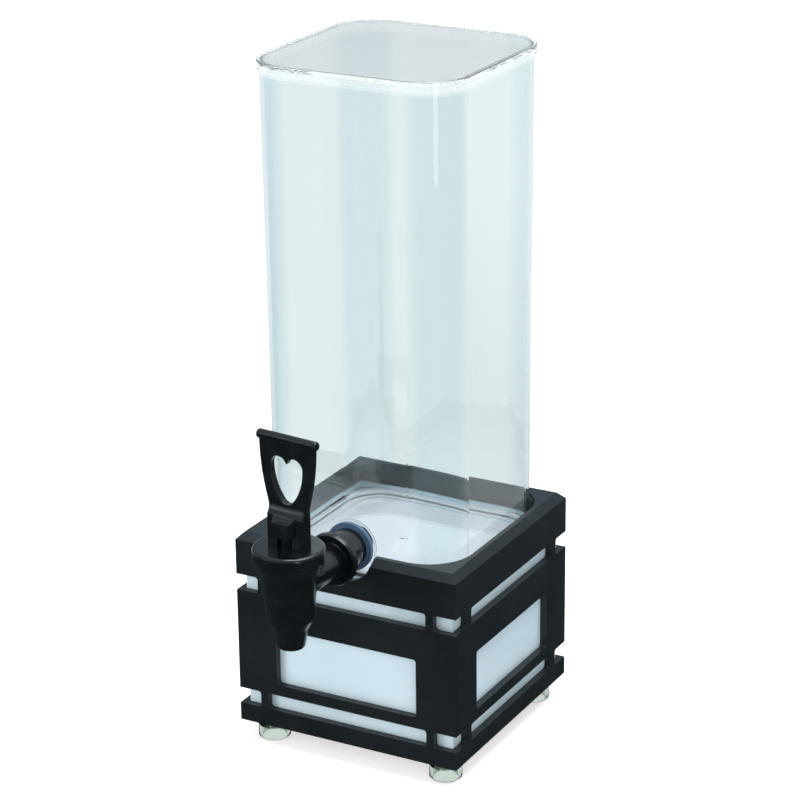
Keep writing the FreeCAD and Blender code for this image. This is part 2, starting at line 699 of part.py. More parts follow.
def make_seat_cup():
    """The soft cup on the stem's barb, whose sole closes the outlet."""
    sole_top = CUP_Z + CUP_SOLE
    barb_z = sole_top + STEM_BARB_HEIGHT
    return turned_upright([
        (0, CUP_Z),
        (CUP_FOOT_RADIUS, CUP_Z),
        (CUP_TOP_RADIUS, CUP_TOP_Z),
        (STEM_TIP_RADIUS, CUP_TOP_Z),
        (STEM_TIP_RADIUS, barb_z),
        (STEM_BARB_RADIUS, barb_z),
        (STEM_TIP_RADIUS, sole_top),
        (0, sole_top),
    ], 0, TAP_Y)


def make_stem_seal():
    """The square-section ring that keeps the drink from climbing past the stem."""
    outer = Part.makeCylinder(SEAL_OUTER, SEAL_HEIGHT, Vector(0, TAP_Y, CEILING_Z))
    bore = Part.makeCylinder(SEAL_BORE, SEAL_HEIGHT, Vector(0, TAP_Y, CEILING_Z))
    return outer.cut(bore)


def make_spring_washer():
    outer = Part.makeCylinder(SPRING_WASHER_RADIUS, SPRING_WASHER, Vector(0, TAP_Y, SPRING_TOP_Z))
    bore = Part.makeCylinder(STEM_RADIUS + SCREW_FIT, SPRING_WASHER, Vector(0, TAP_Y, SPRING_TOP_Z))
    return outer.cut(bore)


def make_closing_spring():
    """The coil spring that presses the stem down onto its seat."""
    low = STEM_FLANGE_TOP_Z + SPRING_WIRE + REST_GAP
    rise = SPRING_TOP_Z - SPRING_WIRE - low
    steps = SPRING_TURNS * SPRING_STEPS
    path = []
    for step in range(steps + 1):
        angle = 2 * math.pi * step / SPRING_STEPS
        x = SPRING_RADIUS * math.cos(angle)
        y = SPRING_RADIUS * math.sin(angle)
        path.append(Vector(x, TAP_Y + y, low + rise * step / steps))
    section = []
    for side in range(SPRING_WIRE_SIDES + 1):
        angle = 2 * math.pi * side / SPRING_WIRE_SIDES
        x = SPRING_RADIUS + SPRING_WIRE * math.cos(angle)
        section.append(Vector(x, TAP_Y, low + SPRING_WIRE * math.sin(angle)))
    return Part.makePolygon(path).makePipeShell([Part.makePolygon(section)], True, False, 1)


# Lever handle

def upright_face(edges):
    return Part.Face(Part.Wire(Part.__sortEdges__(edges)))


def handle_front_outline():
    """The lever seen from the front: straight yoke sides, a waist and an outward-bowed blade."""
    foot = -PIN_RISE
    waist = Vector(BLADE_WAIST_HALF_WIDTH, 0, BLADE_WAIST_RISE)
    shoulder = Vector(YOKE_HALF_WIDTH, 0, YOKE_TOP_RISE)
    top = Vector(BLADE_TOP_HALF_WIDTH, 0, HANDLE_HEIGHT)
    bow = Vector((waist.x + top.x) / 2 + BLADE_BULGE, 0, (waist.z + top.z) / 2)
    corner = Vector(YOKE_HALF_WIDTH, 0, foot)
    edges = [
        Part.LineSegment(corner, shoulder).toShape(),
        Part.LineSegment(shoulder, waist).toShape(),
        Part.Arc(waist, bow, top).toShape(),
    ]
    mirrored = [edge.mirror(Vector(0, 0, 0), Vector(1, 0, 0)) for edge in edges]
    across_top = Part.LineSegment(top, Vector(-top.x, 0, top.z)).toShape()
    across_foot = Part.LineSegment(corner, Vector(-corner.x, 0, corner.z)).toShape()
    return upright_face(edges + mirrored + [across_top, across_foot])


def handle_side_outline():
    """The lever seen from its side: a rounded cam heel, a thick yoke, a dished ledge and a thin blade."""
    heel_angle = math.asin((YOKE_FRONT - CAM_FORWARD) / CAM_RADIUS)
    half_angle = heel_angle / 2
    heel_low = Vector(0, -CAM_FORWARD, -CAM_RADIUS)
    heel_mid = Vector(0, -CAM_FORWARD - CAM_RADIUS * math.sin(half_angle), -CAM_RADIUS * math.cos(half_angle))
    heel_high = Vector(0, -YOKE_FRONT, -CAM_RADIUS * math.cos(heel_angle))
    blade_front = BLADE_SETBACK - BLADE_THICKNESS / 2
    blade_back = BLADE_SETBACK + BLADE_THICKNESS / 2
    ledge_top = YOKE_TOP_RISE + YOKE_LEDGE
    ledge_front = Vector(0, -YOKE_FRONT, YOKE_TOP_RISE)
    ledge_back = Vector(0, blade_front, ledge_top)
    ledge_dish = (ledge_front + ledge_back) / 2 - Vector(0, 0, SADDLE_DIP)
    corners = [
        ledge_back,
        Vector(0, blade_front, HANDLE_HEIGHT),
        Vector(0, blade_back, HANDLE_HEIGHT),
        Vector(0, blade_back, ledge_top),
        Vector(0, YOKE_BACK, YOKE_TOP_RISE),
        Vector(0, YOKE_BACK, -CAM_RADIUS),
        heel_low,
    ]
    edges = [Part.LineSegment(a, b).toShape() for a, b in zip(corners, corners[1:])]
    edges.append(Part.Arc(heel_low, heel_mid, heel_high).toShape())
    edges.append(Part.LineSegment(heel_high, ledge_front).toShape())
    edges.append(Part.Arc(ledge_front, ledge_dish, ledge_back).toShape())
    return upright_face(edges)


def circle_point(x, z, radius, angle):
    """A point of a circle in the lever's front plane."""
    return Vector(x + radius * math.cos(angle), 0, z + radius * math.sin(angle))


def heart_outline():
    """The heart-shaped finger hole: two round lobes whose sides bow down into a round tip."""
    lobe_radius = HEART_HALF_WIDTH + HEART_LOBE_DIP - math.sqrt(2 * HEART_HALF_WIDTH * HEART_LOBE_DIP)
    lobe_x = HEART_HALF_WIDTH - lobe_radius
    lobe_z = HEART_TIP_RISE + HEART_HEIGHT - lobe_radius
    tip_z = HEART_TIP_RISE + HEART_TIP_ROUND
    drop = lobe_z - tip_z
    # The side's circle touches the lobe's circle at its widest point and the tip's circle below
    side_power = HEART_HALF_WIDTH**2 + drop**2 - HEART_TIP_ROUND**2
    side_radius = side_power / (HEART_HALF_WIDTH - HEART_TIP_ROUND) / 2
    side_x = HEART_HALF_WIDTH - side_radius
    dip_angle = math.acos(-lobe_x / lobe_radius)
    tip_angle = math.atan2(-drop, -side_x)
    dip = circle_point(lobe_x, lobe_z, lobe_radius, dip_angle)
    crown = circle_point(lobe_x, lobe_z, lobe_radius, dip_angle / 2)
    side = circle_point(lobe_x, lobe_z, lobe_radius, 0)
    bow = circle_point(side_x, lobe_z, side_radius, tip_angle / 2)
    tip_side = circle_point(side_x, lobe_z, side_radius, tip_angle)
    tip = Vector(0, 0, HEART_TIP_RISE)
    edges = [Part.Arc(dip, crown, side).toShape(), Part.Arc(side, bow, tip_side).toShape()]
    mirrored = [edge.mirror(Vector(0, 0, 0), Vector(1, 0, 0)) for edge in edges]
    tip_arc = Part.Arc(tip_side, tip, Vector(-tip_side.x, 0, tip_side.z)).toShape()
    return upright_face(edges + mirrored + [tip_arc])


def pocket_outline():
    """The pocket between the yoke's two cheeks, with round corners under a level ceiling."""
    foot = -PIN_RISE - CUT_MARGIN
    corner_dip = POCKET_ROUND * (1 - math.sqrt(0.5))
    cheek_foot = Vector(POCKET_HALF_WIDTH, 0, foot)
    cheek_top = Vector(POCKET_HALF_WIDTH, 0, POCKET_CEILING - POCKET_ROUND)
    corner_middle = Vector(POCKET_HALF_WIDTH - corner_dip, 0, POCKET_CEILING - corner_dip)
    ceiling_end = Vector(POCKET_HALF_WIDTH - POCKET_ROUND, 0, POCKET_CEILING)
    edges = [
        Part.LineSegment(cheek_foot, cheek_top).toShape(),
        Part.Arc(cheek_top, corner_middle, ceiling_end).toShape(),
    ]
    mirrored = [edge.mirror(Vector(0, 0, 0), Vector(1, 0, 0)) for edge in edges]
    across_top = Part.LineSegment(ceiling_end, Vector(-ceiling_end.x, 0, POCKET_CEILING)).toShape()
    across_foot = Part.LineSegment(cheek_foot, Vector(-POCKET_HALF_WIDTH, 0, foot)).toShape()
    return upright_face(edges + mirrored + [across_top, across_foot])


def through_lever(face, front=YOKE_FRONT + CUT_MARGIN):
    """A face in the lever's front plane, pushed from some way ahead of the pin to behind the yoke."""
    face.translate(Vector(0, -front, 0))
    return face.extrude(Vector(0, front + YOKE_BACK + CUT_MARGIN, 0))


def nose_floor(depth):
    """How high the nose's sloping underside lies at a depth: it clears the stem with the lever down."""
    swing = math.radians(LEVER_SWING)
    return POCKET_FRONT / math.sin(swing) - depth / math.tan(swing)


def make_nose():
    """The block ahead of the stem, which narrows to the front under the dished ledge."""
    root = YOKE_FRONT - CUT_MARGIN
    plan = [
        Vector(-NOSE_HALF_WIDTH, -NOSE_FRONT, -PIN_RISE),
        Vector(NOSE_HALF_WIDTH, -NOSE_FRONT, -PIN_RISE),
        Vector(NOSE_ROOT_HALF_WIDTH, -root, -PIN_RISE),
        Vector(-NOSE_ROOT_HALF_WIDTH, -root, -PIN_RISE),
    ]
    column = Part.Face(Part.makePolygon(plan + plan[:1])).extrude(Vector(0, 0, PIN_RISE + YOKE_TOP_RISE))
    front_top = Vector(0, -NOSE_FRONT, NOSE_TOP_RISE)
    back_top = Vector(0, -YOKE_FRONT, YOKE_TOP_RISE)
    saddle = (front_top + back_top) / 2 - Vector(0, 0, SADDLE_DIP)
    corners = [
        back_top,
        Vector(0, -root, YOKE_TOP_RISE),
        Vector(0, -root, nose_floor(root)),
        Vector(0, -NOSE_FRONT, nose_floor(NOSE_FRONT)),
        front_top,
    ]
    edges = [Part.LineSegment(a, b).toShape() for a, b in zip(corners, corners[1:])]
    edges.append(Part.Arc(front_top, saddle, back_top).toShape())
    side_face = upright_face(edges)
    side_face.translate(Vector(-NOSE_ROOT_HALF_WIDTH, 0, 0))
    nose = side_face.extrude(Vector(2 * NOSE_ROOT_HALF_WIDTH, 0, 0)).common(column)
    front_edges = [edge for edge in nose.Edges if edge.BoundBox.YMax < 0.01 - NOSE_FRONT]
    return nose.makeFillet(NOSE_EDGE, front_edges)


def side_edges(lever):
    """The edges that run up both sides of the lever, without the cam heel's."""
    found = []
    for edge in lever.Edges:
        box = edge.BoundBox
        on_one_side = min(abs(box.XMin), abs(box.XMax)) > POCKET_HALF_WIDTH and box.XMin * box.XMax > 0
        if on_one_side and box.ZLength > 0.01 and box.ZMax > 0:
            found.append(edge)
    return found


def heart_edges(lever):
    """The front and back edges of the finger hole."""
    found = []
    for edge in lever.Edges:
        box = edge.BoundBox
        inside = max(abs(box.XMin), abs(box.XMax)) < HEART_HALF_WIDTH + HEART_EDGE
        high = box.ZMin > HEART_TIP_RISE - HEART_EDGE and box.ZMax < HANDLE_HEIGHT - BAR_RADIUS
        if inside and high and box.YLength < 0.01:
            found.append(edge)
    return found


def make_handle():
    from_front = through_lever(handle_front_outline())
    side_face = handle_side_outline()
    side_face.translate(Vector(-BLADE_TOP_HALF_WIDTH - CUT_MARGIN, 0, 0))
    from_side = side_face.extrude(Vector(2 * (BLADE_TOP_HALF_WIDTH + CUT_MARGIN), 0, 0))
    lever = from_front.common(from_side)
    lever = lever.makeFillet(HANDLE_EDGE, side_edges(lever))
    lever = lever.cut(through_lever(heart_outline()))
    lever = lever.makeFillet(HEART_EDGE, heart_edges(lever))
    bar_start = Vector(-BAR_LENGTH / 2, BLADE_SETBACK, HANDLE_HEIGHT)
    bar = Part.makeCylinder(BAR_RADIUS, BAR_LENGTH, bar_start, Vector(1, 0, 0))
    bar = bar.makeFillet(BAR_RADIUS / 2, [e for e in bar.Edges if isinstance(e.Curve, Part.Circle)])
    sockets = lever_pin(PIN_RADIUS + PIN_FIT, PIN_REACH)
    cuts = [through_lever(pocket_outline(), POCKET_FRONT), sockets]
    return placed_on_tap(lever.fuse([bar, make_nose()]).cut(cuts).removeSplitter())


def make_handle_pin():
    return placed_on_tap(lever_pin(PIN_RADIUS, PIN_REACH - REST_GAP))


# Every piece by its name

PIECES = {
    "front_panel": make_wide_panel(-1),
    "back_panel": make_wide_panel(1),
    "left_panel": make_side_panel(-1),
    "right_panel": make_side_panel(1),
    "top_plate": make_top_plate(),
    "front_liner": make_wide_liner(-1),
    "back_liner": make_wide_liner(1),
    "left_liner": make_side_liner(-1),
    "right_liner": make_side_liner(1),
    "bottom_plate": make_bottom_plate(),
    "corner_posts": make_corner_posts(),
    "tower_shelf": make_shelf(),
    "clear_feet": make_feet(),
    "foot_screws": make_foot_screws(),
    "container": make_container(),
    "lid": make_lid(),
    "outer_washer": make_outer_washer(),
    "spacer_sleeve": make_spacer(),
    "tap_collar": make_collar(),
    "inner_washer": make_inner_washer(),
    "shank_nut": make_shank_nut(),
    "tap_body": make_tap_body(),
    "bonnet": make_bonnet(),
    "stem_seal": make_stem_seal(),
    "spring_washer": make_spring_washer(),
    "closing_spring": make_closing_spring(),
    "stem": make_stem(),
    "seat_cup": make_seat_cup(),
    "handle_pin": make_handle_pin(),
    "handle": make_handle(),
}

os.makedirs("parts", exist_ok=True)
for name, shape in PIECES.items():
    shape.exportStep(f"parts/{name}.step")
    box = shape.BoundBox
    volume = shape.Volume / 1000
    print(f"{name}: {len(shape.Solids)} solid(s), {volume:.2f} cm3, z {box.ZMin:.1f} to {box.ZMax:.1f}")
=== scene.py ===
# %% [markdown]
# # A clear drink tower on a black base
# This lesson dresses a modelled drink tower: a clear square container with a lid, standing in a
# black open-sided base on cup feet, with a glossy black lever tap in front.
# The shapes come from the part's own model, as pieces that ride on its moving bodies. What is made
# here is the look: materials, light, floor and camera. Units are metres, Z is up and the tap
# faces -Y.

# %% Load the modelled tower
import math

import bpy
from mathutils import Matrix, Vector


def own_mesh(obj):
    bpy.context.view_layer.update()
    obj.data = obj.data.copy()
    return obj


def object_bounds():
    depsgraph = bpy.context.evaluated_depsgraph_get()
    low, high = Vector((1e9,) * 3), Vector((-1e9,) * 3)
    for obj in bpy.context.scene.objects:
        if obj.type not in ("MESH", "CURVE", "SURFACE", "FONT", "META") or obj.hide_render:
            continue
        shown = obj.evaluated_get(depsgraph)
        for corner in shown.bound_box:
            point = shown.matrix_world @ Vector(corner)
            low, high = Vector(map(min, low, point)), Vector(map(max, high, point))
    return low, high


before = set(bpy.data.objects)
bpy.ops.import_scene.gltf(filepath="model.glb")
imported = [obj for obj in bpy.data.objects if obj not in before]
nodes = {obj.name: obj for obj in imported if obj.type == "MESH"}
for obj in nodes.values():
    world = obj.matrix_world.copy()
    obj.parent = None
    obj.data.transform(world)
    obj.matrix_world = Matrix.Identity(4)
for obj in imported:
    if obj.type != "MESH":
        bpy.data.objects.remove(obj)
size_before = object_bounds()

scene = bpy.context.scene
print("pieces loaded:", len(nodes))
print("overall height in mm:", round((size_before[1].z - size_before[0].z) * 1000, 1))

# %% [markdown]
# ## Helpers for materials
# Every material starts as one plain surface shader. Then noise textures in object coordinates
# change its roughness, its colour or its relief a little from place to place, because no moulded
# or painted surface is even all over. An image could do that too, but it would need unwrapped
# pieces. Object coordinates need none, and keep the grain the same size on every piece, since all
# pieces share one set of axes.

# %% Start a material and put it on pieces
def new_material(name):
    material = bpy.data.materials.new(name)
    material.use_nodes = True
    tree = material.node_tree
    return material, tree, tree.nodes["Principled BSDF"]


def dress(material, *names):
    for name in names:
        nodes[name].data.materials.clear()
        nodes[name].data.materials.append(material)
    print(material.name, "is on", len(names), "piece(s)")


print("a material can be put on any of:", ", ".join(sorted(nodes)))

# %% Noise, and what it can change
def object_noise(tree, scale, detail, stretch=(1.0, 1.0, 1.0)):
    """Noise whose features are about 1 / scale metres wide."""
    coordinates = tree.nodes.new("ShaderNodeTexCoord")
    mapping = tree.nodes.new("ShaderNodeMapping")
    mapping.inputs["Scale"].default_value = stretch
    noise = tree.nodes.new("ShaderNodeTexNoise")
    noise.inputs["Scale"].default_value = scale
    noise.inputs["Detail"].default_value = detail
    tree.links.new(coordinates.outputs["Object"], mapping.inputs["Vector"])
    tree.links.new(mapping.outputs["Vector"], noise.inputs["Vector"])
    return noise.outputs["Fac"]


def spread(tree, value, low, high, from_low=0.3, from_high=0.7):
    """Stretches a value from one range to another; most noise lies between 0.3 and 0.7."""
    node = tree.nodes.new("ShaderNodeMapRange")
    node.inputs["From Min"].default_value = from_low
    node.inputs["From Max"].default_value = from_high
    node.inputs["To Min"].default_value = low
    node.inputs["To Max"].default_value = high
    tree.links.new(value, node.inputs["Value"])
    return node.outputs["Result"]


def blend_colours(tree, factor, first, second):
    """A mix of two colours; each is three plain numbers or another node's colour."""
    node = tree.nodes.new("ShaderNodeMix")
    node.data_type = "RGBA"
    colour_sockets = [socket for socket in node.inputs if socket.type == "RGBA"]
    for socket, colour in zip(colour_sockets, (first, second)):
        if isinstance(colour, tuple):
            socket.default_value = (*colour, 1.0)
        else:
            tree.links.new(colour, socket)
    tree.links.new(factor, node.inputs["Factor"])
    return next(socket for socket in node.outputs if socket.type == "RGBA")


def mottle(tree, shader, noise, dark, light):
    """Lets the colour wander between two near shades."""
    colour = blend_colours(tree, spread(tree, noise, 0.0, 1.0), dark, light)
    tree.links.new(colour, shader.inputs["Base Color"])


def wear(tree, shader, noise, smooth, rough):
    """Lets the roughness wander between two values."""
    tree.links.new(spread(tree, noise, smooth, rough), shader.inputs["Roughness"])


def add_relief(tree, shader, height, distance, strength):
    bump = tree.nodes.new("ShaderNodeBump")
    bump.inputs["Distance"].default_value = distance
    bump.inputs["Strength"].default_value = strength
    tree.links.new(height, bump.inputs["Height"])
    tree.links.new(bump.outputs["Normal"], shader.inputs["Normal"])


print("noise can change colour, roughness and relief")

# %% [markdown]
# ## The black base
# The base is moulded plastic with a satin skin. Satin means that it spreads reflections wide, so
# its top looks grey under the light while its front stays almost black. A very fine grain in the
# relief breaks the highlights up, and slow changes in roughness stand for handling marks. The
# grain is finer than any face of the model, so it is made in the shader and not in the mesh.

# %% Satin black for the frame
satin_black, tree, shader = new_material("satin_black")
smudges = object_noise(tree, 22.0, 5.0)
grain = object_noise(tree, 2600.0, 2.0)
mottle(tree, shader, smudges, (0.005, 0.008, 0.010), (0.009, 0.013, 0.016))
wear(tree, shader, smudges, 0.34, 0.46)
add_relief(tree, shader, grain, 0.00004, 0.5)
dress(satin_black, "front_panel", "back_panel", "left_panel", "right_panel", "top_plate")

# %% [markdown]
# ## The white sheets inside the base
# Four white sheets close the base behind its cut-outs. They are translucent, so light soaks in and
# comes back soft and a little blue. White paint would look hard and flat here. Subsurface
# scattering does better: light enters, wanders a few millimetres and leaves somewhere else. The
# radius is that distance for red, green and blue.

# %% Milky white sheet
def let_light_soak_in(shader, weight, radius):
    shader.inputs["Subsurface Weight"].default_value = weight
    shader.inputs["Subsurface Radius"].default_value = radius
    shader.inputs["Subsurface Scale"].default_value = 1.0


milky_white, tree, shader = new_material("milky_white")
cloud = object_noise(tree, 9.0, 3.0)
orange_peel = object_noise(tree, 900.0, 2.0)
mottle(tree, shader, cloud, (0.56, 0.66, 0.72), (0.61, 0.70, 0.755))
wear(tree, shader, cloud, 0.28, 0.40)
let_light_soak_in(shader, 0.35, (0.004, 0.005, 0.006))
add_relief(tree, shader, orange_peel, 0.00003, 0.3)
dress(milky_white, "front_liner", "back_liner", "left_liner", "right_liner")

# %% [markdown]
# ## The white structure under the container
# The shelf shows through the container's floor, and the posts and the bottom plate are of the same
# plain white plastic. They are taken as opaque, so no light is made to soak into them. Noise that
# is drawn out along Y stands for scuffs from wiping.

# %% White for the shelf, posts and bottom plate
shelf_white, tree, shader = new_material("shelf_white")
scuffs = object_noise(tree, 60.0, 6.0, stretch=(1.0, 0.25, 1.0))
mottle(tree, shader, scuffs, (0.58, 0.56, 0.60), (0.64, 0.62, 0.655))
wear(tree, shader, scuffs, 0.35, 0.55)
dress(shelf_white, "tower_shelf", "corner_posts", "bottom_plate")

# %% [markdown]
# ## Where a clear moulding changes
# The container, the lid and the feet are clear plastic, with a slight blue-green tint that builds
# up with every wall that the light crosses. The tint is made deeper in each upright corner: this is
# painted shade, which draws the soft darker stripe that shows at each corner of the tower. At the rim
# and at the turn into the floor many walls fold over each other, and with that tint they would look
# black, so there it is almost nothing. The rim is also a little frosted.
# Each of these zones is a sum on the object coordinates, so no mask has to be painted. The corners
# and the smaller square are measured from the tower's axis, the two ends from its middle height, the
# rim's band from the smaller square, and heights from the lower edge of the base.

# %% Sums on object coordinates
def object_axes(tree):
    coordinates = tree.nodes.new("ShaderNodeTexCoord")
    parts = tree.nodes.new("ShaderNodeSeparateXYZ")
    tree.links.new(coordinates.outputs["Object"], parts.inputs["Vector"])
    return parts.outputs


def arithmetic(tree, operation, first, second=0.0):
    """One sum on texture values; each input is a socket or a plain number."""
    node = tree.nodes.new("ShaderNodeMath")
    node.operation = operation
    for socket, value in zip(node.inputs, (first, second)):
        if isinstance(value, float):
            socket.default_value = value
        else:
            tree.links.new(value, socket)
    return node.outputs["Value"]


def stretch_of(tree, value, start, end):
    """0 up to the start of a stretch and 1 from its end on."""
    return spread(tree, value, 0.0, 1.0, start, end)


print("sums are ready")

# %% Corners, ends and rim of the tower
# From this distance outwards the corners get a darker colour: painted shade for the corner stripes.
corner_shade_start = 0.050
corner_shade_full = 0.062
middle_height = 0.343
end_start = 0.196
end_full = 0.200
smaller_square_half = 0.0519
band_start = 0.0350
band_full = 0.0365
frost_start = 0.5395
frost_full = 0.5415


def into_shaded_corners(tree):
    """0 on the flats and 1 in the four upright corners, which get the painted shade; by how far both |x|
    and |y| reach.
    """
    axes = object_axes(tree)
    sizes = [arithmetic(tree, "ABSOLUTE", axes[axis]) for axis in "XY"]
    return stretch_of(tree, arithmetic(tree, "MINIMUM", *sizes), corner_shade_start, corner_shade_full)


def into_ends(tree):
    """0 along the tower and 1 at its rim and floor, by the distance from the middle height."""
    height = arithmetic(tree, "SUBTRACT", object_axes(tree)["Z"], middle_height)
    return stretch_of(tree, arithmetic(tree, "ABSOLUTE", height), end_start, end_full)


def onto_rim(tree):
    """1 on the outer band of the lid and of the container's mouth. The distance outwards is measured
    from a smaller square, so the band runs round the corners as the real rim does."""
    axes = object_axes(tree)
    beyond = []
    for axis in "XY":
        reach = arithmetic(tree, "SUBTRACT", arithmetic(tree, "ABSOLUTE", axes[axis]), smaller_square_half)
        beyond.append(arithmetic(tree, "POWER", arithmetic(tree, "MAXIMUM", reach, 0.0), 2.0))
    outwards = arithmetic(tree, "SQRT", arithmetic(tree, "ADD", *beyond))
    band = stretch_of(tree, outwards, band_start, band_full)
    high = stretch_of(tree, axes["Z"], frost_start, frost_full)
    return arithmetic(tree, "MULTIPLY", band, high)


print("the rim is frosted above this height in mm:", round(frost_start * 1000, 1))

# %% [markdown]
# ## Clear plastic
# The walls have a real thickness, so one shader with full transmission and the plastic's refractive
# index, 1.49, bends light at each rounded corner as the real walls do. On the frosted rim a part of
# the light is scattered, not bent, and that keeps its lines pale. Fine rub marks change the
# roughness.
#
# Light that only passes through on its way to something else is the costly part of clear things: a
# path tracer rarely finds a lamp through a bent ray, and the floor of the container would turn
# dark. So shadow rays see a plain tinted film in place of the refracting wall, and let the lamps in.

# %% Clear plastic, made three times with different wear
refractive_index = 1.49
frosted_transmission = 0.86
faint_rub = 0.45
deep_rub = 0.75
shadow_film = (0.945, 0.955, 0.96)


def choose(tree, question, otherwise, answer):
    """Shows the answer to rays of the kind asked about, and something else to all other rays."""
    path = tree.nodes.new("ShaderNodeLightPath")
    node = tree.nodes.new("ShaderNodeMixShader")
    tree.links.new(path.outputs[question], node.inputs[0])
    tree.links.new(otherwise, node.inputs[1])
    tree.links.new(answer, node.inputs[2])
    return node.outputs["Shader"]


def clear_plastic(name, tint, painted_corner_shade, end_tint, smooth, rough, rub_scale, rub_stretch):
    material, tree, shader = new_material(name)
    # The corners are blended to a darker colour, which is painted shade and not a thicker wall.
    tint_and_corner_shade = blend_colours(tree, into_shaded_corners(tree), tint, painted_corner_shade)
    if end_tint:
        tint_and_corner_shade = blend_colours(tree, into_ends(tree), tint_and_corner_shade, end_tint)
    tree.links.new(tint_and_corner_shade, shader.inputs["Base Color"])
    transmission = spread(tree, onto_rim(tree), 1.0, frosted_transmission, 0.0, 1.0)
    tree.links.new(transmission, shader.inputs["Transmission Weight"])
    shader.inputs["IOR"].default_value = refractive_index
    rubs = object_noise(tree, rub_scale, 6.0, rub_stretch)
    tree.links.new(spread(tree, rubs, smooth, rough, faint_rub, deep_rub), shader.inputs["Roughness"])
    film = tree.nodes.new("ShaderNodeBsdfTransparent")
    film.inputs["Color"].default_value = (*shadow_film, 1.0)
    surface = choose(tree, "Is Shadow Ray", shader.outputs["BSDF"], film.outputs["BSDF"])
    tree.links.new(surface, tree.nodes["Material Output"].inputs["Surface"])
    return material


colourless = (0.985, 0.995, 0.995)
# The second colour of each clear plastic is the painted corner shade.
tower_clear = clear_plastic("tower_clear", (0.90, 0.95, 0.95), (0.755, 0.855, 0.875), colourless,
                            0.0, 0.02, 30.0, (1.0, 1.0, 0.15))
lid_clear = clear_plastic("lid_clear", colourless, (0.96, 0.98, 0.98), None,
                          0.0, 0.02, 30.0, (1.0, 0.2, 1.0))
foot_clear = clear_plastic("foot_clear", (0.66, 0.75, 0.67), (0.62, 0.71, 0.63), None,
                           0.08, 0.30, 200.0, (1.0, 1.0, 1.0))
dress(tower_clear, "container")
dress(lid_clear, "lid")
dress(foot_clear, "clear_feet")

# %% [markdown]
# ## The glossy tap
# The tap is moulded in glossy black plastic, which shows the lamps as narrow highlights with soft
# edges. They could be painted on, but then they would not slide when the lever moves, so they are
# left to the lamps. The roughness rises in faint patches where fingers and cloths have rubbed the
# tap, and a very low relief makes the highlights wobble a little, as flow marks in a moulding do.

# %% Gloss black for the tap
gloss_black, tree, shader = new_material("gloss_black")
handling = object_noise(tree, 70.0, 5.0)
flow = object_noise(tree, 240.0, 2.0)
mottle(tree, shader, handling, (0.0025, 0.0035, 0.0045), (0.005, 0.0065, 0.0085))
wear(tree, shader, handling, 0.16, 0.28)
add_relief(tree, shader, flow, 0.00005, 0.25)
dress(gloss_black, "tap_body", "tap_collar", "spacer_sleeve", "bonnet", "shank_nut", "stem", "handle",
      "handle_pin")

# %% [markdown]
# ## Washers and seals
# The washer between the tap and the container is made as steel-blue silicone rubber: dull, a little
# dusty, and with a little light that soaks two or three millimetres into it. Without that light its
# edge would look like hard paint. The inner washer, the stem seal and the seat cup share it.

# %% Silicone washers and seals
silicone, tree, shader = new_material("pale_silicone")
dust = object_noise(tree, 420.0, 4.0)
mottle(tree, shader, dust, (0.06, 0.11, 0.19), (0.09, 0.15, 0.24))
wear(tree, shader, dust, 0.35, 0.55)
let_light_soak_in(shader, 0.15, (0.002, 0.002, 0.003))
dress(silicone, "outer_washer", "inner_washer", "stem_seal", "seat_cup")

# %% [markdown]
# ## Metal parts
# The foot screws, the closing spring and its washer are steel, drawn or rolled in one direction.
# Noise that is drawn out along X gives the fine lines which that leaves, on any shape.

# %% Drawn steel
drawn_steel, tree, shader = new_material("drawn_steel")
draw_lines = object_noise(tree, 900.0, 3.0, stretch=(0.1, 1.0, 1.0))
mottle(tree, shader, draw_lines, (0.50, 0.51, 0.53), (0.62, 0.63, 0.65))
wear(tree, shader, draw_lines, 0.22, 0.40)
shader.inputs["Metallic"].default_value = 1.0
dress(drawn_steel, "foot_screws", "closing_spring", "spring_washer")

# %% [markdown]
# ## The closing spring
# The closing spring is held at its top by the washer under the bonnet. The lever pulls the stem up
# by 5 mm for each radian of its 40 degrees, which is 3.49 mm, and the spring gets shorter from
# below by as much.

# %% Give the closing spring a mesh of its own
spring = nodes["closing_spring"]
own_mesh(spring)

# %% [markdown]
# ## The room as world light
# The camera sees plain white. Soft light comes from a studio that is bright above, pale at the
# sides and grey below. Mirror reflections see a darker room of the same kind, as the tap of the
# real tower does, so its black stays deep between the lamps' highlights. Rays that have passed
# through the clear walls see a pale room. One picture of a studio could light everything, but it
# would have to be the same room for all of these rays.

# %% The studio as world light
def plain_light(tree, kind, colour, strength):
    """One even colour; kind is Background for the world and Emission for a surface."""
    node = tree.nodes.new("ShaderNode" + kind)
    node.inputs["Color"].default_value = (*colour, 1.0)
    node.inputs["Strength"].default_value = strength
    return node.outputs[kind]


def room(tree, low, middle, high):
    """A background whose brightness runs from low under the horizon to high overhead."""
    direction = tree.nodes.new("ShaderNodeTexCoord")
    parts = tree.nodes.new("ShaderNodeSeparateXYZ")
    tree.links.new(direction.outputs["Generated"], parts.inputs["Vector"])
    ramp_node = tree.nodes.new("ShaderNodeValToRGB")
    ramp = ramp_node.color_ramp
    ramp.elements[0].color = (*low, 1.0)
    ramp.elements[1].color = (*high, 1.0)
    ramp.elements.new(0.5).color = (*middle, 1.0)
    tree.links.new(stretch_of(tree, parts.outputs["Z"], -1.0, 1.0), ramp_node.inputs["Fac"])
    node = tree.nodes.new("ShaderNodeBackground")
    tree.links.new(ramp_node.outputs["Color"], node.inputs["Color"])
    node.inputs["Strength"].default_value = room_strength
    return node.outputs["Background"]


